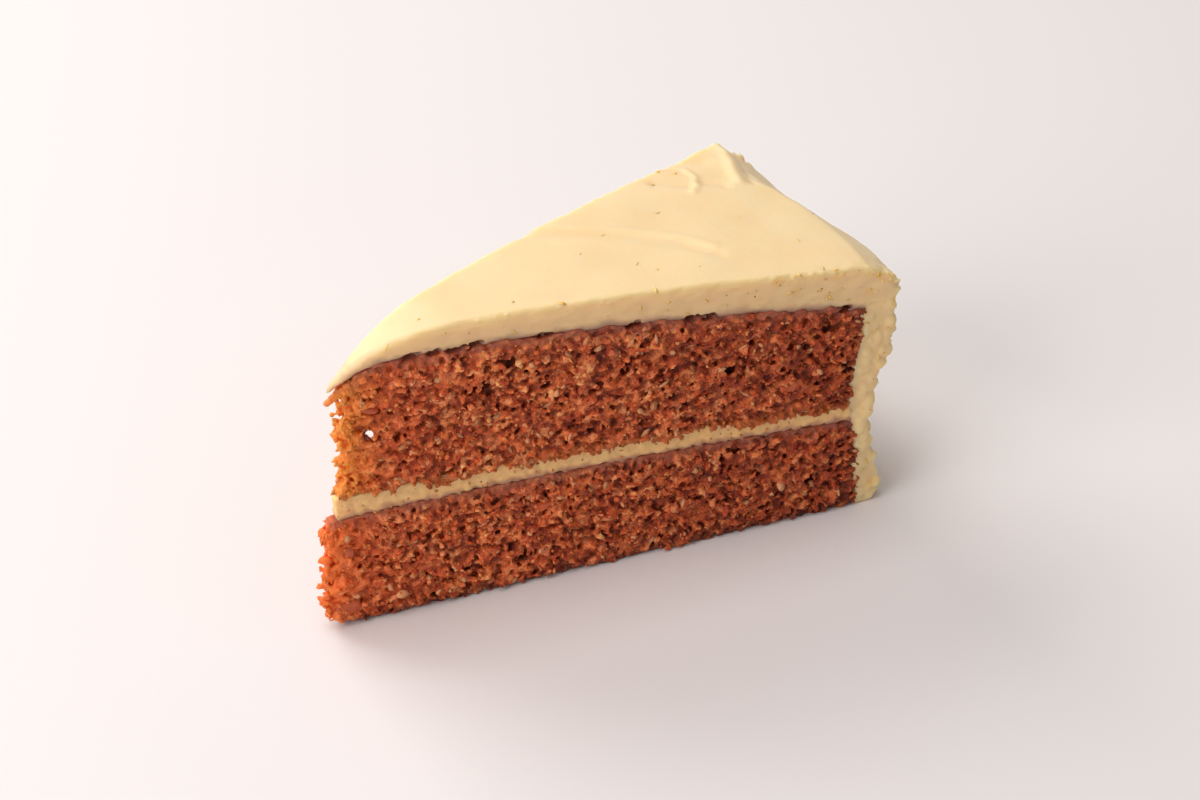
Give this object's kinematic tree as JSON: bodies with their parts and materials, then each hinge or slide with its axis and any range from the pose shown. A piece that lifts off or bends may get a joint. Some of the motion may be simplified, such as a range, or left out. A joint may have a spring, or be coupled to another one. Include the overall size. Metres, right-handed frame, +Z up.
{
  "type": "carrot cake slice",
  "caption": "Wedge-shaped slice of layered carrot cake with a frosting filling and a thick frosting coat over its top and rim.",
  "frame": {"origin": "middle of the slice's bounding box, at the height of the base it stands on", "axes": "+Z up, +X from the slice's tip to its frosted rim, +Y across the slice"},
  "size_m": [0.1304, 0.06, 0.0741],
  "materials": {
    "sponge": "open baked crumb, matte and slightly moist",
    "frosting": "soft cream-cheese frosting, satin, spread with a palette knife"
  },
  "bodies": {
    "root": {"lower_sponge": "sponge", "filling": "frosting", "upper_sponge": "sponge", "frosting": "frosting"}
  },
  "joints": []
}
